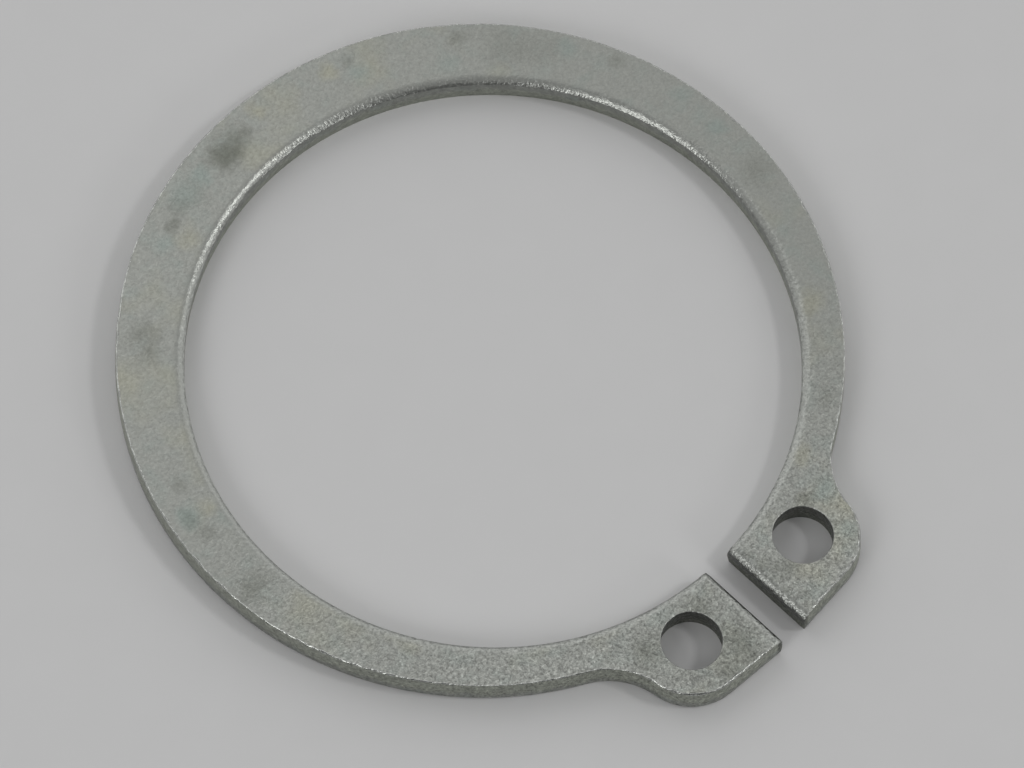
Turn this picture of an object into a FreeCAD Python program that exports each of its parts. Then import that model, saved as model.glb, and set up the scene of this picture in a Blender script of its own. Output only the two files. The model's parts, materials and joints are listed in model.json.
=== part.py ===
"""Snap ring for a groove in a 32 mm shaft: one blanking of spring steel with two plier lugs.

The origin is the centre of the inner circle, on the lower face. +Z goes up through the ring,
and the gap between the lugs opens towards -Y. All sizes are in millimetres.
"""
import FreeCAD, Part
import math
import os

import Sketcher

# Driving sizes, each with the meaning that its cell in the sheet carries as a note
SIZES = {
    "free_diameter": (29.6, "inner circle of the ring, off the shaft"),
    "stock_thickness": (1.5, "thickness of the strip that the ring is blanked from"),
    "back_width": (3.6, "width of the band opposite the gap, where it is widest"),
    "front_width": (1.84, "width that the band narrows down to at the lugs"),
    "gap_width": (1.5, "distance between the ends of the two lugs"),
    "hole_diameter": (2.9, "plier hole in each lug"),
    "hole_spacing": (7.6, "distance between the centres of the plier holes"),
    "hole_reach": (2.4, "distance of a plier hole's centre outside the inner circle"),
    "lug_wall": (1.35, "metal round the plier hole on the side away from the gap"),
    "neck_radius": (3.7, "hollow fillet where the band runs out into the lug"),
    "corner_reach": (5.0, "depth of the lug at the gap, from the inner circle to its outer corner"),
    "inner_roll": (0.24, "rounded upper edge of the inner circle and the gap's ends"),
    "hole_roll": (0.16, "rounded upper edge of the plier holes"),
    "outer_roll": (0.2, "rounded lower edge of the outer outline"),
}

NODE = "snap_ring"


def make_sheet(doc):
    """Put every driving size in a cell of its own, under its name."""
    sheet = doc.addObject("Spreadsheet::Sheet", "sizes")
    for row, (name, (value, note)) in enumerate(SIZES.items(), start=1):
        sheet.set(f"A{row}", name)
        sheet.set(f"B{row}", str(value))
        sheet.set(f"C{row}", note)
        sheet.setAlias(f"B{row}", name)
    doc.recompute()
    return sheet


def outline_points(sheet):
    """First places of the half outline's corners and centres, worked out from the sizes."""
    inner = sheet.free_diameter / 2
    outer = inner + (sheet.back_width + sheet.front_width) / 2
    offset = (sheet.back_width - sheet.front_width) / 2
    lug = sheet.hole_diameter / 2 + sheet.lug_wall
    vector = FreeCAD.Vector

    outer_centre = vector(0, offset, 0)
    hole_x = sheet.hole_spacing / 2
    hole = vector(hole_x, -math.sqrt((inner + sheet.hole_reach) ** 2 - hole_x ** 2), 0)

    # The neck's circle touches the outer circle and the lug's circle from outside
    to_hole = hole - outer_centre
    neck_to_outer = outer + sheet.neck_radius
    neck_to_lug = lug + sheet.neck_radius
    cosine = (neck_to_outer ** 2 + to_hole.Length ** 2 - neck_to_lug ** 2) / (
        2 * neck_to_outer * to_hole.Length)
    angle = math.atan2(to_hole.y, to_hole.x) + math.acos(cosine)
    neck = outer_centre + vector(math.cos(angle), math.sin(angle), 0) * neck_to_outer

    # The slanted outer edge runs from the outer corner and touches the lug's circle
    gap_x = sheet.gap_width / 2
    corner = vector(gap_x, -inner - sheet.corner_reach, 0)
    to_corner = corner - hole
    turn = math.atan2(to_corner.y, to_corner.x) + math.acos(lug / to_corner.Length)
    edge_start = hole + vector(math.cos(turn), math.sin(turn), 0) * lug

    return {
        "inner_back": vector(0, inner, 0),
        "outer_back": vector(0, offset + outer, 0),
        "outer_centre": outer_centre,
        "neck_start": outer_centre + (neck - outer_centre) * (outer / neck_to_outer),
        "neck": neck,
        "lug_start": hole + (neck - hole) * (lug / neck_to_lug),
        "hole": hole,
        "edge_start": edge_start,
        "corner": corner,
        "tip": vector(gap_x, -math.sqrt(inner ** 2 - gap_x ** 2), 0),
        "centre": vector(0, 0, 0),
    }


def arc(centre, first, last):
    """The arc from first to last round centre, counter-clockwise."""
    upwards = FreeCAD.Vector(0, 0, 1)
    circle = Part.Circle(centre, upwards, (first - centre).Length)
    start = math.atan2(first.y - centre.y, first.x - centre.x)
    end = math.atan2(last.y - centre.y, last.x - centre.x)
    return Part.ArcOfCircle(circle, start, end)


def origin_plane(body, role):
    """The body's own origin plane with that role."""
    return next(item for item in body.Origin.OriginFeatures if item.Role == role)


def bind(sketch, constraint, name, formula):
    """Add a named dimension to the sketch and tie it to the sheet."""
    number = sketch.addConstraint(constraint)
    sketch.renameConstraint(number, name)
    sketch.setExpression(f"Constraints.{name}", formula)


def draw_half_outline(doc, body, sheet):
    """The right half of the ring seen from above, closed along the line of symmetry."""
    sketch = body.newObject("Sketcher::SketchObject", "half_outline")
    sketch.AttachmentSupport = [(origin_plane(body, "XY_Plane"), "")]
    sketch.MapMode = "FlatFace"
    point = outline_points(sheet)

    outer = sketch.addGeometry(arc(point["outer_centre"], point["neck_start"], point["outer_back"]))
    neck = sketch.addGeometry(arc(point["neck"], point["neck_start"], point["lug_start"]))
    lug = sketch.addGeometry(arc(point["hole"], point["edge_start"], point["lug_start"]))
    edge = sketch.addGeometry(Part.LineSegment(point["edge_start"], point["corner"]))
    end = sketch.addGeometry(Part.LineSegment(point["corner"], point["tip"]))
    inner = sketch.addGeometry(arc(point["centre"], point["tip"], point["inner_back"]))
    back = sketch.addGeometry(Part.LineSegment(point["inner_back"], point["outer_back"]))

    first, last, middle = 1, 2, 3
    origin, x_axis, y_axis = -1, -1, -2
    joint = Sketcher.Constraint
    sketch.addConstraint([
        joint("Tangent", outer, first, neck, first),
        joint("Tangent", neck, last, lug, last),
        joint("Tangent", lug, first, edge, first),
        joint("Coincident", edge, last, end, first),
        joint("Coincident", end, last, inner, first),
        joint("Coincident", inner, last, back, first),
        joint("Coincident", back, last, outer, last),
        joint("Vertical", end),
        joint("Coincident", inner, middle, origin, first),
        joint("PointOnObject", outer, middle, y_axis),
        joint("PointOnObject", inner, last, y_axis),
        joint("PointOnObject", outer, last, y_axis),
    ])

    # The two circles of the band, one offset from the other
    bind(sketch, joint("Radius", inner, sheet.free_diameter / 2), "inner_radius",
         "sizes.free_diameter / 2")
    bind(sketch, joint("Distance", back, sheet.back_width), "back_width", "sizes.back_width")
    bind(sketch, joint("Radius", outer, (point["outer_back"] - point["outer_centre"]).Length),
         "outer_radius",
         "(sizes.free_diameter + sizes.back_width + sizes.front_width) / 2")

    # The lug round its hole, and the neck that leads into it
    bind(sketch, joint("DistanceX", origin, first, lug, middle, sheet.hole_spacing / 2),
         "hole_place", "sizes.hole_spacing / 2")
    bind(sketch, joint("Distance", origin, first, lug, middle, point["hole"].Length),
         "hole_distance", "sizes.free_diameter / 2 + sizes.hole_reach")
    bind(sketch, joint("Radius", lug, sheet.hole_diameter / 2 + sheet.lug_wall), "lug_radius",
         "sizes.hole_diameter / 2 + sizes.lug_wall")
    bind(sketch, joint("Radius", neck, sheet.neck_radius), "neck_radius", "sizes.neck_radius")

    # The end at the gap, with a sharp corner at both sides
    bind(sketch, joint("DistanceX", origin, first, edge, last, sheet.gap_width / 2),
         "half_gap", "sizes.gap_width / 2")
    bind(sketch, joint("DistanceY", edge, last, x_axis, first, -point["corner"].y),
         "corner_depth", "sizes.free_diameter / 2 + sizes.corner_reach")

    doc.recompute()
    return sketch


def pad_half_ring(doc, body, sketch):
    """Blank the half ring out of the strip."""
    pad = body.newObject("PartDesign::Pad", "half_ring")
    pad.Profile = sketch
    pad.setExpression("Length", "sizes.stock_thickness")
    sketch.Visibility = False
    doc.recompute()
    return pad


def punch_hole(doc, body, sheet, outline):
    """Punch the plier hole through the lug, round the centre of the lug's own arc."""
    sketch = body.newObject("Sketcher::SketchObject", "hole_outline")
    sketch.AttachmentSupport = [(origin_plane(body, "XY_Plane"), "")]
    sketch.MapMode = "FlatFace"
    centre = outline_points(sheet)["hole"]
    upwards = FreeCAD.Vector(0, 0, 1)
    ring = sketch.addGeometry(Part.Circle(centre, upwards, sheet.hole_diameter / 2))
    bind(sketch, Sketcher.Constraint("Radius", ring, sheet.hole_diameter / 2), "hole_radius",
         "sizes.hole_diameter / 2")
    bind(sketch, Sketcher.Constraint("DistanceX", -1, 1, ring, 3, centre.x), "hole_place",
         f"{outline.Name}.Constraints.hole_place")
    bind(sketch, Sketcher.Constraint("Distance", -1, 1, ring, 3, centre.Length), "hole_distance",
         f"{outline.Name}.Constraints.hole_distance")
    doc.recompute()

    pocket = body.newObject("PartDesign::Pocket", "plier_hole")
    pocket.Profile = sketch
    pocket.Type = "ThroughAll"
    pocket.Reversed = True
    sketch.Visibility = False
    doc.recompute()
    return pocket


def mirror_half(doc, body, features):
    """Add the left half, the same shape on the other side of the YZ plane."""
    mirror = body.newObject("PartDesign::Mirrored", "both_halves")
    mirror.Originals = features
    mirror.MirrorPlane = (origin_plane(body, "YZ_Plane"), [""])
    mirror.Refine = True
    body.Tip = mirror
    doc.recompute()
    return mirror


def flat_edges(shape, height):
    """Names and edges of the face outline at that height."""
    near = 1e-4
    for number, edge in enumerate(shape.Edges, start=1):
        if abs(edge.BoundBox.ZMin - height) < near and abs(edge.BoundBox.ZMax - height) < near:
            yield f"Edge{number}", edge


def is_circle(edge, radius, reach=None):
    """Whether an edge lies on a circle of that radius, centred that far from the axis."""
    near = 1e-4
    if not isinstance(edge.Curve, Part.Circle) or abs(edge.Curve.Radius - radius) > near:
        return False
    centre = edge.Curve.Center
    return reach is None or abs(math.hypot(centre.x, centre.y) - reach) < near


def edge_kind(edge, sheet):
    """Which stretch of the outline an edge belongs to: hole, inner (with the gap) or outer."""
    inner = sheet.free_diameter / 2
    if is_circle(edge, sheet.hole_diameter / 2, inner + sheet.hole_reach):
        return "hole"
    if is_circle(edge, inner, 0):
        return "inner"
    near = 1e-4
    box = edge.BoundBox
    gap_x = sheet.gap_width / 2
    if isinstance(edge.Curve, Part.Line) and box.XLength < near and abs(abs(box.XMin) - gap_x) < near:
        return "inner"
    return "outer"


def roll_edges(doc, body, base, name, height, kind, size, sheet):
    """Round one kind of edge of one face, as the punch or the die leaves it."""
    names = [label for label, edge in flat_edges(base.Shape, height) if edge_kind(edge, sheet) == kind]
    roll = body.newObject("PartDesign::Fillet", name)
    roll.Base = (base, names)
    roll.setExpression("Radius", f"sizes.{size}")
    body.Tip = roll
    doc.recompute()
    if not roll.Shape.Volume < base.Shape.Volume:
        raise RuntimeError(f"{name} took nothing off")
    return roll


def make_ring(doc, sheet):
    """The whole ring: blanked, punched, mirrored, and rolled along its sheared edges."""
    body = doc.addObject("PartDesign::Body", "ring_body")
    body.Label = NODE
    outline = draw_half_outline(doc, body, sheet)
    half = pad_half_ring(doc, body, outline)
    solid_volume = half.Shape.Volume
    hole = punch_hole(doc, body, sheet, outline)
    if not hole.Shape.Volume < solid_volume:
        raise RuntimeError("the plier hole took nothing off")
    blank = mirror_half(doc, body, [half, hole])

    top = sheet.stock_thickness
    rolled = roll_edges(doc, body, blank, "inner_edge_roll", top, "inner", "inner_roll", sheet)
    rolled = roll_edges(doc, body, rolled, "hole_rim_roll", top, "hole", "hole_roll", sheet)
    roll_edges(doc, body, rolled, "outer_edge_roll", 0, "outer", "outer_roll", sheet)
    return body


def check(doc, bodies):
    """Stop at the first object that failed, before anything is written."""
    for item in doc.Objects:
        if "Invalid" in item.State or "Error" in item.State:
            raise RuntimeError(f"{item.Name} is {item.State}")
    for body in bodies:
        if body.Shape.isNull() or not body.Shape.isValid() or len(body.Shape.Solids) != 1:
            raise RuntimeError(f"{body.Label} is not one valid solid")


def main():
    doc = FreeCAD.newDocument("snap_ring")
    sheet = make_sheet(doc)
    bodies = [make_ring(doc, sheet)]
    doc.recompute()
    check(doc, bodies)
    os.makedirs("parts", exist_ok=True)
    for body in bodies:
        body.Shape.exportStep(os.path.join("parts", body.Label + ".step"))
        print(body.Label, "volume", round(body.Shape.Volume, 3), "mm3")


main()
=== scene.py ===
"""Snap ring for a 32 mm shaft, stamped from spring steel and zinc plated, round its CAD frame."""

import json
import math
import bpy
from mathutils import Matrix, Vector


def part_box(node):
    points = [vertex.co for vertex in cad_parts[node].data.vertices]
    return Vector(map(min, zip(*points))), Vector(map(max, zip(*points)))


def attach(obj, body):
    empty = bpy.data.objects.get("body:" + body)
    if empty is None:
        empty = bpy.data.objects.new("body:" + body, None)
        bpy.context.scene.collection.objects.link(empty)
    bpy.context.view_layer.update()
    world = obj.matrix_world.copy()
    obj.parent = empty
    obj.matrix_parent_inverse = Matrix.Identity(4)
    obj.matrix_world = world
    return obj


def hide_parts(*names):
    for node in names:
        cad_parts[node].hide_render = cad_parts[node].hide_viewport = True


bl_info = {
    "name": "Snap ring",
    "version": (1, 0, 0),
    "blender": (4, 5, 0),
    "location": "3D View > Sidebar > Snap ring",
    "description": "Models a stamped, zinc-plated snap ring in its CAD frame and sets its stage",
    "category": "Object",
}

import bpy
from bpy.props import FloatProperty, FloatVectorProperty, IntProperty, PointerProperty
from mathutils import Quaternion, Vector, kdtree, noise

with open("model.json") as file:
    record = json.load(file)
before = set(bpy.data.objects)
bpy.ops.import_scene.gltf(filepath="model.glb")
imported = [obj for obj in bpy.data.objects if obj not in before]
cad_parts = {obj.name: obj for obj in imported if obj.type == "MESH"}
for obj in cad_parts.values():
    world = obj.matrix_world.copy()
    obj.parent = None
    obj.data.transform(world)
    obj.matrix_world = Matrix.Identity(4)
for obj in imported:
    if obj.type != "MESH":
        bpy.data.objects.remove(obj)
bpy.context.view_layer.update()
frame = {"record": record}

NODE = "snap_ring"
BODY = "root"
MOUNTS = {mount["name"]: mount for mount in frame["record"]["mounts"]}
MM = 0.001

# What the CAD solid gives: its box, its inner circle and its plier holes
LOW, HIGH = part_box(NODE)
THICKNESS = HIGH.z - LOW.z
INNER_RADIUS = MOUNTS["shaft_seat"]["dims"]["r_mm"] * MM
OUTER_RADIUS = HIGH.x
OUTER_OFFSET = HIGH.y - OUTER_RADIUS
HOLE_RADIUS = MOUNTS["plier_hole_right"]["dims"]["r_mm"] * MM
HOLE_PLACE = Vector(MOUNTS["plier_hole_right"]["pos_m"][:2])
CORNER_DEPTH = LOW.y

# Heights and corners nearer than SAME are one, and corners within ON_EDGE of an edge lie on it
SAME = 0.001 * MM
ON_EDGE = 0.01 * MM

# The outline runs straight on where the sine of its turn is below STRAIGHT, and turns sharply
# where the angle is above SHARP
STRAIGHT = 0.2
SHARP = 0.3

# Width of the rim rows between a wall and the faces that fill the ring
RIM = 0.06 * MM

# What the shears did at each corner of the mesh, kept as attributes for the material
NOTES = ("torn", "wall", "rolled", "lip")

# Sockets by their place: of a Mix node first, then of a Map Range node
SHARE, FIRST, SECOND, FIRST_COLOUR, SECOND_COLOUR = 0, 2, 3, 6, 7
VALUE, FROM_LOW, FROM_HIGH, TO_LOW, TO_HIGH = range(5)

# A noise pattern mostly keeps between these two values
NOISE_LOW, NOISE_HIGH = 0.3, 0.7

# Edges that turn by less than this look smooth
SMOOTH_BELOW = math.radians(40)


def linear(hex_colour):
    """sRGB hex text as a linear RGBA colour."""
    parts = [int(hex_colour[i:i + 2], 16) / 255 for i in (0, 2, 4)]
    flat = [c / 12.92 if c <= 0.04045 else ((c + 0.055) / 1.055) ** 2.4 for c in parts]
    return (*flat, 1.0)


def number(name, description, value, unit="NONE"):
    """A number property with its default, shown in a unit where one fits."""
    return FloatProperty(name=name, description=description, default=value, unit=unit)


def rotation(name, description, degrees):
    """An angle property with its default given in degrees."""
    return FloatProperty(name=name, description=description, default=math.radians(degrees),
                         subtype="ANGLE")


def length(name, description, millimetres):
    """A length property with its default given in millimetres."""
    return FloatProperty(name=name, description=description, default=millimetres * MM,
                         unit="LENGTH", precision=5)


def colour(name, description, hex_colour):
    """A colour property with its default given as sRGB hex text."""
    return FloatVectorProperty(name=name, description=description, subtype="COLOR", size=4,
                               min=0.0, max=1.0, default=linear(hex_colour))


# Marks on the upper face: place and width in millimetres, tint and strength. Most are stains that
# rinsing left; the last five are a broad darker patch over the left lug and painted shade along
# the right lug's gap edge
MARKS = (
    (-1.6, 16.9, 1.4, "dark", 0.8), (-0.6, 17.0, 1.3, "dark", 0.65),
    (-3.2, 16.8, 0.9, "cool", 0.9), (-4.1, 16.5, 1.1, "dark", 0.35),
    (-4.9, 16.4, 1.0, "dark", 0.4), (-4.4, 16.7, 1.3, "cool", 0.7),
    (-6.1, 15.8, 0.5, "dark", 0.45), (-7.1, 15.5, 0.8, "cool", 0.8),
    (-5.9, 14.8, 0.9, "warm", 0.7), (-11.1, 12.7, 1.1, "dark", 0.4),
    (-11.5, 11.8, 1.0, "dark", 0.35), (5.3, 16.6, 0.7, "warm", 0.9),
    (6.3, 16.3, 0.6, "dark", 0.4), (1.3, 17.4, 0.9, "warm", 0.9), (6.3, 15.4, 0.9, "cool", 0.8),
    (9.7, 12.7, 0.9, "cool", 0.6), (12.4, 11.4, 1.8, "dark", 0.22),
    (13.6, 9.9, 1.6, "dark", 0.18), (14.4, 9.1, 0.8, "cool", 0.7),
    (11.0, 13.4, 0.8, "dark", 0.35), (-16.4, -0.4, 1.3, "dark", 0.42),
    (-16.0, 4.3, 0.9, "cool", 1.0), (-16.0, 4.2, 0.6, "dark", 0.3),
    (-15.2, 5.9, 0.7, "dark", 0.3), (-15.9, 3.2, 0.7, "dark", 0.3),
    (-15.1, 4.0, 0.8, "warm", 0.8), (15.6, 7.0, 0.7, "dark", 0.3), (16.5, 3.4, 0.8, "cool", 0.6),
    (16.4, 1.1, 0.8, "cool", 0.9), (16.2, -2.0, 1.4, "dark", 0.25),
    (12.9, -8.6, 1.1, "warm", 0.8), (9.8, -12.6, 0.8, "dark", 0.3),
    (6.8, -14.0, 0.9, "warm", 0.7), (-5.7, -15.7, 1.3, "dark", 0.5),
    (-2.2, -18.5, 1.5, "dark", 0.5), (-2.3, -15.8, 1.1, "dark", 0.4),
    (-3.6, -19.4, 1.6, "dark", 0.35), (5.2, -15.6, 0.6, "dark", 0.4),
    (6.4, -15.9, 1.1, "cool", 0.8), (5.4, -18.1, 0.9, "cool", 0.6),
    (2.0, -17.4, 0.9, "dark", 0.35), (1.8, -19.0, 0.8, "dark", 0.3),
    # A broad darker patch over the left lug, then marks at x 1.1 to 1.2 mm that are painted shade
    # of the dished edge beside the gap
    (-3.6, -17.2, 3.4, "dark", 0.3), (1.2, -15.7, 0.5, "dark", 0.45),
    (1.2, -16.5, 0.6, "dark", 0.45), (1.1, -17.3, 0.6, "dark", 0.45),
    (1.1, -18.2, 0.5, "dark", 0.45),
)

# How far the clouds push the edge of a mark about, in millimetres
WANDER = 1.6

# Patterns of the plating and the walls: millimetres across, detail, roughness and distortion
PATTERNS = {
    "grain": (0.16, 2.0, 0.45, 0.3),
    "fine": (0.09, 1.0, 0.5, 0.0),
    "clouds": (1.4, 3.0, 0.6, 0.0),
    "drifts": (3.2, 2.0, 0.5, 0.0),
    "pits": (0.3, 3.0, 0.65, 0.0),
    "ragged": (0.9, 3.0, 0.5, 0.0),
}

# Lamps: direction as shares to the right, towards the camera and up, then distance and width in
# metres. The stage property of the same name gives the watts.
LAMPS = {
    "window": ((0.643, 0.0, 0.766), 0.6, 0.1),
    "low_right": ((0.768, 0.48, 0.423), 0.6, 0.15),
    "low_left": ((-0.49, 0.623, 0.609), 0.6, 0.3),
    "panel": ((-0.33, -0.42, 0.85), 0.17, 0.1),
}

# The floor's side and the camera's nearest sight in metres, and its sensor's width in millimetres
FLOOR_SIDE = 3
NEAREST_SIGHT = 10 * MM
SENSOR_WIDTH = 36

# The place on the floor that the camera looks at
LOOK_AT = Vector((0.135 * MM, -1.138 * MM, LOW.z))


class RingShape(bpy.types.PropertyGroup):
    """Sizes of the ring that the frame's box and mounts don't give."""

    gap_width: length("Gap", "Distance between the ends of the two lugs", 1.5)
    lug_wall: length("Lug wall", "Metal round the plier hole", 1.35)
    neck_radius: length("Neck radius", "Hollow fillet from the band into the lug", 3.7)
    inner_roll: length("Inner roll width", "Rolled-over width along the inner edge and the gap",
                       0.58)
    inner_sink: length("Inner roll depth", "Rolled-over depth along the inner edge and the gap",
                       0.24)
    hole_roll: length("Hole roll width", "Rolled-over width round the plier holes", 0.06)
    hole_sink: length("Hole roll depth", "Rolled-over depth round the plier holes", 0.05)
    outer_roll: length("Outer roll", "Rounding of the lower outer edge, on the die side", 0.2)
    punch_break: length("Punched break", "Height below which the punched walls are torn", 0.75)
    punch_lean: length("Punched lean", "How far the punched walls widen towards the lower face",
                       0.09)
    blank_break: length("Blanked break", "Height above which the outer wall is torn", 0.55)
    blank_lean: length("Blanked lean", "How far the outer wall leans in towards the upper face",
                       0.065)
    burr_height: length("Burr height", "Highest the torn lip stands above the upper face", 0.02)
    burr_foot: length("Burr foot", "Width of the torn lip on the upper face", 0.06)
    lip_wear: length("Lip wear", "Widest flat that tumbling has left on the torn lip", 0.09)
    tip_wear: length("Tip wear", "How far tumbling has rounded the inner tips", 0.04)
    spacing: length("Spacing", "Distance between neighbouring corners of the outline", 0.13)
    roll_steps: IntProperty(name="Roll steps", description="Facets across a rolled edge",
                            default=9, min=3)


class ZincFinish(bpy.types.PropertyGroup):
    """Colours of the plating and of the sheared walls."""

    plating: colour("Plating", "Dull zinc on the flat faces", "A0A29D")
    cool_plating: colour("Cool plating", "Bluish patches of the plating", "98A19C")
    warm_plating: colour("Warm plating", "Yellowish patches of the plating", "A4A497")
    stain_and_shade: colour("Stain", "Darker marks left by rinsing", "6E7168")
    burnished: colour("Burnished", "Plating on the rolled edges, ironed by the punch", "989A96")
    # Darker tint of the rinsing stains, also used for the painted shade beside the gap
    worn: colour("Worn", "Lip along the torn edge, rubbed bright in the barrel", "B9BBB7")
    torn: colour("Torn", "Plating over the torn part of the walls", "A6A9A0")


class StageSetup(bpy.types.PropertyGroup):
    """The floor, the lamps and the camera."""

    floor: colour("Floor", "Pale matt card under the ring", "C3C3C3")
    window: number("Window", "Power of the small lamp that throws the shadows", 0.5, "POWER")
    low_right: number("Low right", "Power of the low lamp on the right", 0.3, "POWER")
    low_left: number("Low left", "Power of the low lamp on the left", 0.8, "POWER")
    panel: number("Panel", "Power of the near soft lamp", 0.02, "POWER")
    behind: number("Behind", "Brightness of the room beyond the ring", 1.08)
    overhead: number("Overhead", "Brightness of the ceiling", 0.42)
    before: number("Before", "Brightness of the room on the camera's side", 0.12)
    distance: length("Distance", "From the camera to the point it looks at", 265.85)
    azimuth: rotation("Azimuth", "Direction that the camera stands in", -138.04)
    elevation: rotation("Elevation", "Height angle of the camera", 65.65)
    roll: rotation("Roll", "Turn of the camera about its line of sight", 2.85)
    lens: number("Lens", "Focal length in millimetres on a 36 mm sensor", 194.6, "CAMERA")


def bearing(vector):
    """Angle of a flat vector from +X."""
    return math.atan2(vector.y, vector.x)


def polar(angle, radius):
    """The flat vector with a given angle from +X and length."""
    return Vector((math.cos(angle), math.sin(angle))) * radius


def sweep(start, end, clockwise):
    """Angle from bearing start to bearing end, negative when clockwise."""
    angle = (end - start) % (2 * math.pi)
    return angle - 2 * math.pi if clockwise else angle


def deselect():
    """Leave edit mode and select nothing."""
    if bpy.context.object and bpy.context.object.mode != "OBJECT":
        bpy.ops.object.mode_set(mode="OBJECT")
    bpy.ops.object.select_all(action="DESELECT")


def pick(piece):
    """Select one object, make it active and open its mesh with everything selected."""
    deselect()
    bpy.context.view_layer.objects.active = piece
    piece.select_set(True)
    bpy.ops.object.mode_set(mode="EDIT")
    bpy.ops.mesh.select_all(action="SELECT")


def start_outline(name, place):
    """A new mesh with one selected corner, from which an outline is drawn."""
    deselect()
    bpy.ops.mesh.primitive_plane_add(size=MM)
    piece = bpy.context.object
    piece.name = name
    bpy.ops.object.mode_set(mode="EDIT")
    bpy.ops.mesh.select_all(action="SELECT")
    bpy.ops.mesh.merge(type="CENTER")
    bpy.ops.transform.translate(value=place.to_3d())
    return piece


def draw_arc(centre, angle, radius, spacing):
    """Draw an arc on from the selected corner. Spin turns clockwise for a positive angle."""
    steps = max(2, round(abs(angle) * radius / spacing))
    bpy.ops.mesh.spin(steps=steps, angle=-angle, center=centre.to_3d(), axis=(0, 0, 1))


def draw_line(start, end, spacing):
    """Draw a straight stretch on from the selected corner."""
    steps = max(2, round((end - start).length / spacing))
    step = ((end - start) / steps).to_3d()
    for _ in range(steps):
        bpy.ops.mesh.extrude_region_move(TRANSFORM_OT_translate={"value": step})


def draw_half_outline(shape):
    """The ring's right half from above: band, neck, lug, slanted edge, gap and inner circle."""
    lug_radius = HOLE_RADIUS + shape.lug_wall
    centre = Vector((0, OUTER_OFFSET))
    to_hole = HOLE_PLACE - centre

    # The neck's circle touches the band's outer circle and the lug's circle from outside
    to_neck = OUTER_RADIUS + shape.neck_radius
    neck_to_hole = shape.neck_radius + lug_radius
    cosine = ((to_neck ** 2 + to_hole.length_squared - neck_to_hole ** 2)
              / (2 * to_neck * to_hole.length))
    neck = centre + polar(bearing(to_hole) + math.acos(cosine), to_neck)

    corner = Vector((shape.gap_width / 2, CORNER_DEPTH))
    to_corner = corner - HOLE_PLACE
    lug_end = bearing(to_corner) + math.acos(lug_radius / to_corner.length)
    tip = Vector((corner.x, -math.sqrt(INNER_RADIUS ** 2 - corner.x ** 2)))

    top = math.pi / 2
    step = shape.spacing
    ring = start_outline("zinc_ring", centre + polar(top, OUTER_RADIUS))
    draw_arc(centre, sweep(top, bearing(neck - centre), True), OUTER_RADIUS, step)
    draw_arc(neck, sweep(bearing(centre - neck), bearing(HOLE_PLACE - neck), False),
             shape.neck_radius, step)
    draw_arc(HOLE_PLACE, sweep(bearing(neck - HOLE_PLACE), lug_end, True), lug_radius, step)
    draw_line(HOLE_PLACE + polar(lug_end, lug_radius), corner, step)
    draw_line(corner, tip, step)
    draw_arc(Vector((0, 0)), sweep(bearing(tip), top, False), INNER_RADIUS, step)
    bpy.ops.object.mode_set(mode="OBJECT")
    return ring, corner, tip


def follow(mesh, start):
    """Places of the corners along an open outline, beginning at the end nearest to start."""
    neighbours = [[] for _ in mesh.vertices]
    for edge in mesh.edges:
        first, second = edge.vertices
        neighbours[first].append(second)
        neighbours[second].append(first)
    ends = [index for index, near in enumerate(neighbours) if len(near) == 1]
    here = min(ends, key=lambda index: (mesh.vertices[index].co.xy - start).length)
    order = [here]
    before = None
    while True:
        onward = [index for index in neighbours[here] if index != before]
        if not onward:
            return [mesh.vertices[index].co.xy.copy() for index in order]
        before, here = here, onward[0]
        order.append(here)


def wall_levels(shape, roll, sink):
    """Rows of a sheared wall, from the lower face to the upper one.

    The outer wall is blanked: rolled at the bottom, then burnished, then torn up to a lip.
    The punched walls are the other way up: torn at the bottom, burnished, rolled at the top.
    Each row holds its height, how far it is set into the metal where blanked and where
    punched, how much further the roll sets it in, its shares of ironing, wear and lip, whether
    it is wall, and how much of a wall it counts as where punched.
    """
    def blanked(height):
        torn = (height - shape.blank_break) / (THICKNESS - shape.blank_break)
        return shape.blank_lean * max(0.0, torn)

    def punched(height):
        return shape.punch_lean * max(0.0, 1 - height / shape.punch_break)

    def row(height, blank, punch, rolled=0.0, ironed=0.0, worn=0.0, lip=0.0, wall=True, steep=1.0):
        return {"height": height, "blank": blank, "punch": punch, "rolled": rolled,
                "ironed": ironed, "worn": worn, "lip": lip, "wall": wall, "steep": steep}

    quarter = [math.pi / 2 * step / shape.roll_steps for step in range(shape.roll_steps + 1)]
    rows = [row(0.0, shape.outer_roll + RIM, punched(0.0) + RIM, wall=False)]
    for angle in quarter:
        height = shape.outer_roll * (1 - math.cos(angle))
        rows.append(row(height, shape.outer_roll * (1 - math.sin(angle)), punched(height)))
    for height in sorted((0.5 * (shape.outer_roll + shape.blank_break), shape.blank_break,
                          shape.punch_break, 0.5 * (shape.punch_break + THICKNESS - sink))):
        rows.append(row(height, blanked(height), punched(height)))

    # Ironing ends at four fifths of the roll's width, and what counts as wall at a third of it
    for step in range(shape.roll_steps + 1):
        along = step / shape.roll_steps
        height = THICKNESS - sink * (1 - along) ** 3
        rows.append(row(height, blanked(height), 0.0, roll * along,
                        ironed=max(0.0, 1 - (1.25 * along) ** 2), steep=max(0.0, 1 - 3 * along)))
    rows[-1]["lip"] = 0.6

    # The lip's crest, its foot and the rim of the face
    foot = shape.blank_lean + shape.burr_foot
    rows.append(row(THICKNESS, shape.blank_lean, 0.3 * RIM, roll, worn=0.9, lip=1.0, wall=False))
    rows.append(row(THICKNESS, foot, 0.6 * RIM, roll, worn=0.9, wall=False))
    rows.append(row(THICKNESS, foot + RIM, RIM, roll, wall=False))
    return rows


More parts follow.
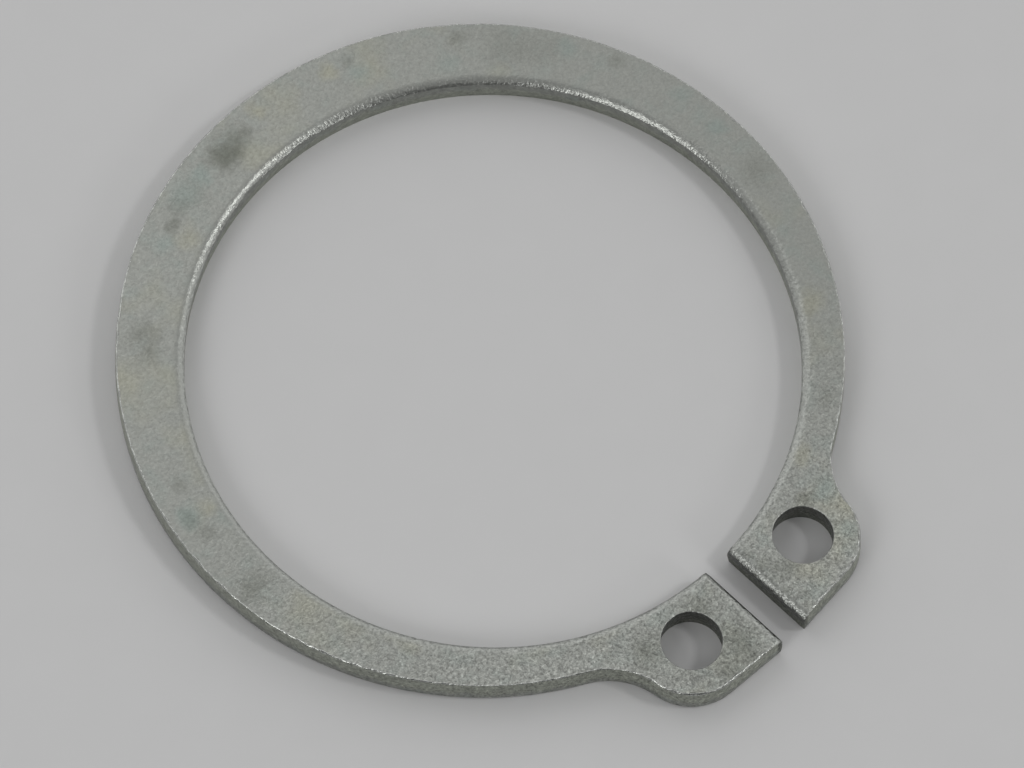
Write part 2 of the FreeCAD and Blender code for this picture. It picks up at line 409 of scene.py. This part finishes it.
def raise_walls(piece, rows):
    """Extrude the outline up once for each row above the first, a millimetre at a time."""
    pick(piece)
    for _ in rows[1:]:
        bpy.ops.mesh.extrude_region_move(TRANSFORM_OT_translate={"value": (0, 0, MM)})
    bpy.ops.object.mode_set(mode="OBJECT")


def waver(point, per_millimetre, start=(0, 0, 0)):
    """Smooth noise about zero at a flat place, with so many waves to a millimetre."""
    return noise.noise((point / MM).to_3d() * per_millimetre + Vector(start))


def roll_wave(point):
    """The roll is a little wider in some places than in others."""
    return 1 + 0.14 * waver(point, 0.45) + 0.1 * waver(point, 1.7, (7, 3, 1))


def lip_wear(point):
    """How much of the torn lip is worn flat, from nearly none to all. It comes and goes."""
    stretch = 0.62 + 0.7 * waver(point, 0.28, (2, 5, 0))
    chip = 0.75 + 0.8 * waver(point, 2.1) + 0.5 * waver(point, 4.3)
    return min(1.0, max(0.06, stretch * chip))


def mitre(column, inset):
    """How far a column's corner moves when the stretches beside it are set in by so much.

    Where the outline hardly turns, the corner moves straight into the metal.
    """
    before, after = (Vector((-way.y, way.x)) for way in column["ways"])
    into_before, into_after = (inset[punched] for punched in column["punched"])
    turn = before.x * after.y - before.y * after.x
    if abs(turn) < STRAIGHT:
        return -(before + after).normalized() * into_after
    return Vector((into_after * before.y - into_before * after.y,
                   into_before * after.x - into_after * before.x)) / turn


def set_rows(piece, rows, columns, shape):
    """Move every corner of raised walls to its row's section and note what the shears did there.

    A column is a corner of the outline with the ways that the stretches before and after it
    go, and whether each of the two was punched. Where the outline turns sharply the rows meet
    in a mitre, and the columns beside it slide along so that none crosses it.
    """
    tree = kdtree.KDTree(len(columns))
    for index, column in enumerate(columns):
        tree.insert(column["point"].to_3d(), index)
    tree.balance()
    mesh = piece.data
    for name in NOTES:
        mesh.attributes.new(name, "FLOAT", "POINT")
    notes = {name: mesh.attributes[name].data for name in NOTES}
    for index, vertex in enumerate(mesh.vertices):
        row = rows[round(vertex.co.z / MM)]
        column = columns[tree.find((vertex.co.x, vertex.co.y, 0))[1]]
        wave = roll_wave(column["point"])
        wear = shape.lip_wear * lip_wear(column["point"])
        inset = {True: row["punch"] + row["rolled"] * wave,
                 False: row["blank"] + wear * row["worn"]}
        shift = mitre(column, inset)
        if column["corner"]:
            nearest, way, share = column["corner"]
            shift += column["ways"][1] * mitre(nearest, inset).dot(way) * share
        if column["seam"]:
            shift.x = 0
        rounding = shape.tip_wear * column["wear"] * row["ironed"]
        place = column["point"] + shift + column["inward"] * rounding
        height = row["height"]
        if row["wall"] and not all(column["punched"]):
            height *= 1 - wear / THICKNESS
        vertex.co = (place.x, place.y, LOW.z + height)

        if column["punched"][1]:
            past_break = shape.punch_break - row["height"]
            wall, rolled, lip = row["steep"], row["ironed"], 0.0
        else:
            past_break = row["height"] - shape.blank_break
            wall, rolled, lip = 1.0, 0.0, row["lip"]
        notes["torn"][index].value = past_break / MM if row["wall"] else -1.0
        notes["wall"][index].value = wall if row["wall"] else 0.0
        notes["rolled"][index].value = rolled
        notes["lip"][index].value = lip


def outline_columns(points, corner, tip):
    """Columns of the drawn half outline, whose ends lie on the plane of symmetry."""
    def punched(first, second):
        middle = (first + second) / 2
        at_gap = abs(middle.x - corner.x) < ON_EDGE and middle.y < tip.y
        return at_gap or abs(middle.length - INNER_RADIUS) < ON_EDGE

    ways = [(second - first).normalized() for first, second in zip(points, points[1:])]
    kinds = [punched(first, second) for first, second in zip(points, points[1:])]
    inward = Vector((1, -1)).normalized()
    worn_reach = 0.3 * MM
    columns = []
    for index, point in enumerate(points):
        before, after = max(0, index - 1), min(index, len(ways) - 1)
        near_tip = max(0.0, 1 - (point - tip).length / worn_reach)
        columns.append({"point": point, "ways": (ways[before], ways[after]),
                        "punched": (kinds[before], kinds[after]), "inward": inward,
                        "wear": near_tip ** 2, "seam": index in (0, len(points) - 1),
                        "corner": None})

    # Columns within reach of a sharp turn slide along with it
    reach = 1.5 * MM
    sharp = [index for index, column in enumerate(columns)
             if column["ways"][0].angle(column["ways"][1]) > SHARP]
    for index, column in enumerate(columns):
        for turn in sharp:
            turning = columns[turn]
            apart = (column["point"] - turning["point"]).length
            if 0 < apart < reach and not column["seam"]:
                way = turning["ways"][0 if index < turn else 1]
                column["corner"] = (turning, way, 1 - apart / reach)
    return columns


def make_hole(shape):
    """The wall of the right-hand plier hole."""
    deselect()
    count = round(2 * math.pi * HOLE_RADIUS / shape.spacing)
    bpy.ops.mesh.primitive_circle_add(vertices=count, radius=HOLE_RADIUS,
                                      location=HOLE_PLACE.to_3d())
    hole = bpy.context.object
    bpy.ops.object.transform_apply()
    columns = []
    for vertex in hole.data.vertices:
        normal = (HOLE_PLACE - vertex.co.xy).normalized()
        way = Vector((normal.y, -normal.x))
        columns.append({"point": vertex.co.xy.copy(), "ways": (way, way), "punched": (True, True),
                        "inward": -normal, "wear": 0.0, "seam": False, "corner": None})
    rows = wall_levels(shape, shape.hole_roll, shape.hole_sink)
    raise_walls(hole, rows)
    set_rows(hole, rows, columns, shape)
    return hole


def close_face(ring, height):
    """Fill the open loops that lie at one height."""
    pick(ring)
    bpy.ops.mesh.select_all(action="DESELECT")
    bpy.ops.mesh.select_mode(type="EDGE")
    bpy.ops.object.mode_set(mode="OBJECT")
    mesh = ring.data
    used = {}
    for polygon in mesh.polygons:
        for key in polygon.edge_keys:
            used[key] = used.get(key, 0) + 1
    for edge in mesh.edges:
        heights = [mesh.vertices[index].co.z for index in edge.vertices]
        level = all(abs(z - height) < SAME for z in heights)
        edge.select = level and used.get(edge.key, 0) == 1
    bpy.ops.object.mode_set(mode="EDIT")
    bpy.ops.mesh.fill(use_beauty=True)
    bpy.ops.object.mode_set(mode="OBJECT")


def raise_burr(ring, shape):
    """Lift the torn lip of the outer edge into a narrow burr that comes and goes."""
    crest = 0.8
    lip = ring.data.attributes["lip"].data
    for index, vertex in enumerate(ring.data.vertices):
        if lip[index].value > crest:
            tooth = waver(vertex.co.xy, 3.1, (9, 1, 4))
            vertex.co.z += shape.burr_height * max(0.0, 0.2 + tooth)


def add_node(tree, kind, inputs=None, **settings):
    """Add a node with its settings. An input is a value, or the output that is linked to it."""
    node = tree.nodes.new(kind)
    for name, value in settings.items():
        setattr(node, name, value)
    for socket, value in (inputs or {}).items():
        if isinstance(value, bpy.types.NodeSocket):
            tree.links.new(value, node.inputs[socket])
        else:
            node.inputs[socket].default_value = value
    return node


def per_metre(millimetres):
    """The scale of a pattern whose cells are so many millimetres across."""
    return 1 / (millimetres * MM)


def zinc_plate(finish):
    """Dull electroplated zinc on tumbled spring steel.

    Tumbling leaves the steel matt and the zinc grows on it in a fine worm-like grain, so the
    faces scatter the light. The punch has ironed the rolled edges, which shine. The torn
    parts of the walls stay coarse and dark.
    """
    material = bpy.data.materials.new("dull_zinc_plate")
    material.use_nodes = True
    tree = material.node_tree
    tree.nodes.clear()
    place = add_node(tree, "ShaderNodeTexCoord").outputs["Object"]
    torn, wall, rolled, lip = (
        add_node(tree, "ShaderNodeAttribute", attribute_name=name).outputs["Fac"]
        for name in NOTES
    )
    pattern = {
        name: add_node(tree, "ShaderNodeTexNoise", {
            "Vector": place, "Scale": per_metre(across), "Detail": detail,
            "Roughness": roughness, "Distortion": distortion}).outputs[0]
        for name, (across, detail, roughness, distortion) in PATTERNS.items()
    }

    # The grain is coarsest on the left lug's side of the ring and finest opposite
    parts = add_node(tree, "ShaderNodeSeparateXYZ", {0: place}).outputs
    along = add_node(tree, "ShaderNodeVectorMath", {0: place, 1: (-0.35, -0.94, 0)},
                     operation="DOT_PRODUCT").outputs["Value"]
    coarse = add_node(tree, "ShaderNodeMapRange", {
        VALUE: along, FROM_LOW: 2.0 * MM, FROM_HIGH: 16.0 * MM,
        TO_LOW: 0.35, TO_HIGH: 1.3}).outputs[0]

    # Colour: dull zinc with cool and warm patches
    tints = {"dark": tuple(finish.stain_and_shade), "cool": tuple(finish.cool_plating),
             "warm": tuple(finish.warm_plating)}
    paint = tuple(finish.plating)
    for tint, name, start, most in (("cool", "clouds", 0.5, 0.5), ("warm", "drifts", 0.52, 0.8)):
        patch = add_node(tree, "ShaderNodeMapRange", {
            VALUE: pattern[name], FROM_LOW: start, FROM_HIGH: 0.75, TO_HIGH: most}).outputs[0]
        paint = add_node(tree, "ShaderNodeMix", {
            SHARE: patch, FIRST_COLOUR: paint, SECOND_COLOUR: tints[tint]},
            data_type="RGBA").outputs[2]

    # The marks, stains and painted shade alike, whose edges wander with the clouds
    wander = add_node(tree, "ShaderNodeMath", {0: pattern["clouds"], 1: WANDER * MM},
                      operation="MULTIPLY").outputs[0]
    for x, y, across, tint, strength in MARKS:
        spot = (x * MM, y * MM, HIGH.z)
        away = add_node(tree, "ShaderNodeVectorMath", {0: place, 1: spot},
                        operation="DISTANCE").outputs["Value"]
        away = add_node(tree, "ShaderNodeMath", {0: away, 1: wander}, operation="ADD").outputs[0]
        mark = add_node(tree, "ShaderNodeMapRange", {
            VALUE: away, FROM_LOW: WANDER / 2 * MM, FROM_HIGH: (WANDER / 2 + across) * MM,
            TO_LOW: strength, TO_HIGH: 0.0},
            interpolation_type="SMOOTHSTEP").outputs[0]
        paint = add_node(tree, "ShaderNodeMix", {
            SHARE: mark, FIRST_COLOUR: paint, SECOND_COLOUR: tints[tint]},
            data_type="RGBA").outputs[2]

    # Walls are burnished, or torn beyond a ragged line, but not on the worn lip
    line = add_node(tree, "ShaderNodeMath", {0: pattern["ragged"], 1: 0.9, 2: torn},
                    operation="MULTIPLY_ADD").outputs[0]
    tear = add_node(tree, "ShaderNodeMapRange", {
        VALUE: line, FROM_LOW: 0.35, FROM_HIGH: 0.6}).outputs[0]
    worn, sound = (
        add_node(tree, "ShaderNodeMapRange", {
            VALUE: lip, FROM_LOW: 0.3, FROM_HIGH: 0.6, TO_LOW: low, TO_HIGH: high}).outputs[0]
        for low, high in ((0.0, 1.0), (1.0, 0.0))
    )
    tear = add_node(tree, "ShaderNodeMath", {0: tear, 1: sound}, operation="MULTIPLY").outputs[0]
    ironed = add_node(tree, "ShaderNodeMath", {0: rolled, 1: worn}, operation="MAXIMUM").outputs[0]

    # Matt faces, then smooth ironed edges, coarse tears and the bright lip over them
    rough = add_node(tree, "ShaderNodeMapRange", {
        VALUE: pattern["grain"], FROM_LOW: NOISE_LOW, FROM_HIGH: NOISE_HIGH,
        TO_LOW: 0.52, TO_HIGH: 0.42}).outputs[0]
    for share, tint, roughness in ((ironed, finish.burnished, 0.32), (tear, finish.torn, 0.6),
                                   (worn, finish.worn, 0.26)):
        paint = add_node(tree, "ShaderNodeMix", {
            SHARE: share, FIRST_COLOUR: paint, SECOND_COLOUR: tuple(tint)},
            data_type="RGBA").outputs[2]
        rough = add_node(tree, "ShaderNodeMix", {
            SHARE: share, FIRST: rough, SECOND: roughness}).outputs[0]

    # The grain shades the colour as well, darker in its hollows and in the walls' pits
    mottle = add_node(tree, "ShaderNodeMath", {0: pattern["fine"], 1: 0.8, 2: pattern["grain"]},
                      operation="MULTIPLY_ADD").outputs[0]
    mottle = add_node(tree, "ShaderNodeMath", {0: mottle, 1: 0.9}, operation="SUBTRACT").outputs[0]
    mottle = add_node(tree, "ShaderNodeMath", {0: mottle, 1: coarse, 2: 1.0},
                      operation="MULTIPLY_ADD").outputs[0]
    pit = add_node(tree, "ShaderNodeMapRange", {
        VALUE: pattern["pits"], FROM_LOW: NOISE_LOW, FROM_HIGH: NOISE_HIGH,
        TO_LOW: 0.8, TO_HIGH: 1.2}).outputs[0]
    pit = add_node(tree, "ShaderNodeMix", {SHARE: wall, FIRST: 1.0, SECOND: pit}).outputs[0]
    shade = add_node(tree, "ShaderNodeMath", {0: mottle, 1: pit}, operation="MULTIPLY").outputs[0]

    # Painted shade: the walls of the holes and the gap are darkened as deep recesses
    across = add_node(tree, "ShaderNodeMath", {0: parts["X"]}, operation="ABSOLUTE").outputs[0]
    level = add_node(tree, "ShaderNodeCombineXYZ", {0: across, 1: parts["Y"]}).outputs[0]
    away = add_node(tree, "ShaderNodeVectorMath", {0: level, 1: HOLE_PLACE.to_3d()},
                    operation="DISTANCE").outputs["Value"]
    in_hole = add_node(tree, "ShaderNodeMapRange", {
        VALUE: away, FROM_LOW: HOLE_RADIUS + 0.15 * MM, FROM_HIGH: HOLE_RADIUS + 0.3 * MM,
        TO_LOW: 1.0, TO_HIGH: 0.0}).outputs[0]
    in_gap = add_node(tree, "ShaderNodeMapRange", {
        VALUE: across, FROM_LOW: 0.95 * MM, FROM_HIGH: 1.1 * MM,
        TO_LOW: 1.0, TO_HIGH: 0.0}).outputs[0]
    lugs = add_node(tree, "ShaderNodeMath", {0: parts["Y"], 1: -10.0 * MM},
                    operation="LESS_THAN").outputs[0]
    in_gap = add_node(tree, "ShaderNodeMath", {0: in_gap, 1: lugs},
                      operation="MULTIPLY").outputs[0]
    recess_shade = add_node(tree, "ShaderNodeMath", {0: in_hole, 1: in_gap},
                    operation="MAXIMUM").outputs[0]
    recess_shade = add_node(tree, "ShaderNodeMath", {0: recess_shade, 1: wall}, operation="MULTIPLY").outputs[0]
    recess_shade = add_node(tree, "ShaderNodeMapRange", {
        VALUE: recess_shade, TO_LOW: 1.0, TO_HIGH: 0.5}).outputs[0]
    # The grain's shading and the painted shade of the recesses both scale the colour
    for factor in (shade, recess_shade):
        paint = add_node(tree, "ShaderNodeVectorMath", {0: paint, "Scale": factor},
                         operation="SCALE").outputs[0]

    # Relief, whose bump distances are in metres: grain everywhere, and deeper pits in the tears
    relief = add_node(tree, "ShaderNodeMath", {0: pattern["fine"], 1: 0.3, 2: pattern["grain"]},
                      operation="MULTIPLY_ADD").outputs[0]
    strength = add_node(tree, "ShaderNodeMath", {0: coarse, 1: 0.75},
                        operation="MULTIPLY").outputs[0]
    strength = add_node(tree, "ShaderNodeMix", {
        SHARE: ironed, FIRST: strength, SECOND: 0.5}).outputs[0]
    bump = add_node(tree, "ShaderNodeBump", {
        "Strength": strength, "Distance": 0.06 * MM, "Height": relief}).outputs[0]
    depth = add_node(tree, "ShaderNodeMath", {0: tear, 1: 0.7, 2: 0.3},
                     operation="MULTIPLY_ADD").outputs[0]
    for factor in (pattern["pits"], wall):
        depth = add_node(tree, "ShaderNodeMath", {0: depth, 1: factor},
                         operation="MULTIPLY").outputs[0]
    bump = add_node(tree, "ShaderNodeBump", {
        "Strength": 1.0, "Distance": 0.08 * MM, "Height": depth, "Normal": bump}).outputs[0]

    surface = add_node(tree, "ShaderNodeBsdfPrincipled", {
        "Base Color": paint, "Metallic": 1.0, "Roughness": rough, "Normal": bump})
    add_node(tree, "ShaderNodeOutputMaterial", {"Surface": surface.outputs[0]})
    return material


class SNAPRING_OT_ring(bpy.types.Operator):
    """Model the stamped ring with its sheared walls, plier holes and burr, and plate it"""

    bl_idname = "snap_ring.ring"
    bl_label = "Ring"

    def execute(self, context):
        shape = context.scene.ring_shape
        ring, corner, tip = draw_half_outline(shape)
        points = follow(ring.data, Vector((0, HIGH.y)))
        rows = wall_levels(shape, shape.inner_roll, shape.inner_sink)
        raise_walls(ring, rows)
        set_rows(ring, rows, outline_columns(points, corner, tip), shape)
        hole = make_hole(shape)

        deselect()
        hole.select_set(True)
        ring.select_set(True)
        context.view_layer.objects.active = ring
        bpy.ops.object.join()
        mirror = ring.modifiers.new("other_half", "MIRROR")
        mirror.merge_threshold = SAME
        bpy.ops.object.modifier_apply(modifier=mirror.name)
        close_face(ring, LOW.z)
        close_face(ring, HIGH.z)
        raise_burr(ring, shape)

        pick(ring)
        bpy.ops.mesh.normals_make_consistent(inside=False)
        bpy.ops.mesh.select_all(action="DESELECT")
        bpy.ops.mesh.select_non_manifold()
        bpy.ops.object.mode_set(mode="OBJECT")
        if any(vertex.select for vertex in ring.data.vertices):
            raise RuntimeError("the ring's surface isn't closed")
        bpy.ops.object.shade_smooth_by_angle(angle=SMOOTH_BELOW)
        ring.data.materials.clear()
        ring.data.materials.append(zinc_plate(context.scene.zinc_finish))

        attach(ring, BODY)
        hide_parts(NODE)
        return {"FINISHED"}


def paper(stage):
    """Matt card, a little uneven in tone as pressed fibres are."""
    material = bpy.data.materials.new("matt_card")
    material.use_nodes = True
    tree = material.node_tree
    tree.nodes.clear()
    place = add_node(tree, "ShaderNodeTexCoord").outputs["Object"]
    fibres = add_node(tree, "ShaderNodeTexNoise", {
        "Vector": place, "Scale": per_metre(2.5), "Detail": 4.0}).outputs[0]
    shade = add_node(tree, "ShaderNodeMapRange", {
        VALUE: fibres, FROM_LOW: NOISE_LOW, FROM_HIGH: NOISE_HIGH,
        TO_LOW: 0.994, TO_HIGH: 1.006}).outputs[0]
    paint = add_node(tree, "ShaderNodeVectorMath", {0: tuple(stage.floor)[:3], "Scale": shade},
                     operation="SCALE").outputs[0]
    surface = add_node(tree, "ShaderNodeBsdfPrincipled", {
        "Base Color": paint, "Roughness": 0.9, "Specular IOR Level": 0.2})
    add_node(tree, "ShaderNodeOutputMaterial", {"Surface": surface.outputs[0]})
    return material


def room(stage):
    """Plain light from all round, most of it low and from beyond the ring."""
    world = bpy.data.worlds.new("room")
    world.use_nodes = True
    tree = world.node_tree
    tree.nodes.clear()
    direction = add_node(tree, "ShaderNodeTexCoord").outputs["Generated"]
    beyond = (-math.cos(stage.azimuth), -math.sin(stage.azimuth), 0)
    side = add_node(tree, "ShaderNodeVectorMath", {0: direction, 1: beyond},
                    operation="DOT_PRODUCT").outputs["Value"]
    level = add_node(tree, "ShaderNodeMapRange", {
        VALUE: side, FROM_LOW: -0.8, FROM_HIGH: 0.6, TO_LOW: stage.before, TO_HIGH: stage.behind},
        interpolation_type="SMOOTHSTEP").outputs[0]
    height = add_node(tree, "ShaderNodeSeparateXYZ", {0: direction}).outputs["Z"]
    ceiling = add_node(tree, "ShaderNodeMapRange", {VALUE: height, FROM_LOW: 0.5, FROM_HIGH: 0.9},
                       interpolation_type="SMOOTHSTEP").outputs[0]
    level = add_node(tree, "ShaderNodeMix", {
        SHARE: ceiling, FIRST: level, SECOND: stage.overhead}).outputs[0]
    light = add_node(tree, "ShaderNodeBackground", {
        "Color": (1.0, 1.0, 1.0, 1.0), "Strength": level})
    add_node(tree, "ShaderNodeOutputWorld", {"Surface": light.outputs[0]})
    return world


def add_lamp(name, direction, distance, size, power):
    """A round soft lamp that faces the ring from a direction."""
    deselect()
    way = direction.normalized()
    bpy.ops.object.light_add(type="AREA", location=way * distance)
    lamp = bpy.context.object
    lamp.name = name
    lamp.rotation_mode = "QUATERNION"
    lamp.rotation_quaternion = way.to_track_quat("Z", "Y")
    lamp.data.shape = "DISK"
    lamp.data.size = size
    lamp.data.energy = power


class SNAPRING_OT_stage(bpy.types.Operator):
    """Lay the pale floor, hang the lamps and set the camera"""

    bl_idname = "snap_ring.stage"
    bl_label = "Stage"

    def execute(self, context):
        stage = context.scene.stage_setup
        deselect()
        bpy.ops.mesh.primitive_plane_add(size=FLOOR_SIDE, location=(0, 0, LOW.z))
        floor = context.object
        floor.name = "floor"
        bpy.ops.object.transform_apply()
        floor.data.materials.append(paper(stage))

        toward = Vector((math.cos(stage.azimuth), math.sin(stage.azimuth), 0))
        right = Vector((-toward.y, toward.x, 0))
        up = Vector((0, 0, 1))
        for name, (shares, distance, size) in LAMPS.items():
            way = shares[0] * right + shares[1] * toward + shares[2] * up
            add_lamp(name, way, distance, size, getattr(stage, name))
        context.scene.world = room(stage)
        context.scene.view_settings.view_transform = "Standard"

        direction = toward * math.cos(stage.elevation) + up * math.sin(stage.elevation)
        deselect()
        bpy.ops.object.camera_add(location=LOOK_AT + direction * stage.distance)
        camera = context.object
        camera.rotation_mode = "QUATERNION"
        level = (-direction).to_track_quat("-Z", "Y")
        camera.rotation_quaternion = level @ Quaternion((0, 0, 1), stage.roll)
        camera.data.sensor_width = SENSOR_WIDTH
        camera.data.lens = stage.lens
        camera.data.clip_start = NEAREST_SIGHT
        context.scene.camera = camera
        return {"FINISHED"}


class SNAPRING_PT_panel(bpy.types.Panel):
    """Lists the steps that build the snap ring"""

    bl_idname = "SNAPRING_PT_panel"
    bl_label = "Snap ring"
    bl_space_type = "VIEW_3D"
    bl_region_type = "UI"
    bl_category = "Snap ring"

    def draw(self, context):
        for step in STEPS:
            self.layout.operator(step.bl_idname)
        for group in GROUPS:
            box = self.layout.box()
            owner = getattr(context.scene, group)
            for name in owner.bl_rna.properties.keys():
                if name not in ("rna_type", "name"):
                    box.prop(owner, name)


GROUPS = {"ring_shape": RingShape, "zinc_finish": ZincFinish, "stage_setup": StageSetup}
STEPS = (SNAPRING_OT_ring, SNAPRING_OT_stage)
CLASSES = (*GROUPS.values(), *STEPS, SNAPRING_PT_panel)


def register():
    for cls in CLASSES:
        bpy.utils.register_class(cls)
    for name, group in GROUPS.items():
        setattr(bpy.types.Scene, name, PointerProperty(type=group))


def unregister():
    for name in GROUPS:
        delattr(bpy.types.Scene, name)
    for cls in reversed(CLASSES):
        bpy.utils.unregister_class(cls)


def main():
    register()
    bpy.ops.snap_ring.ring()
    bpy.ops.snap_ring.stage()


if __name__ == "__main__":
    main()
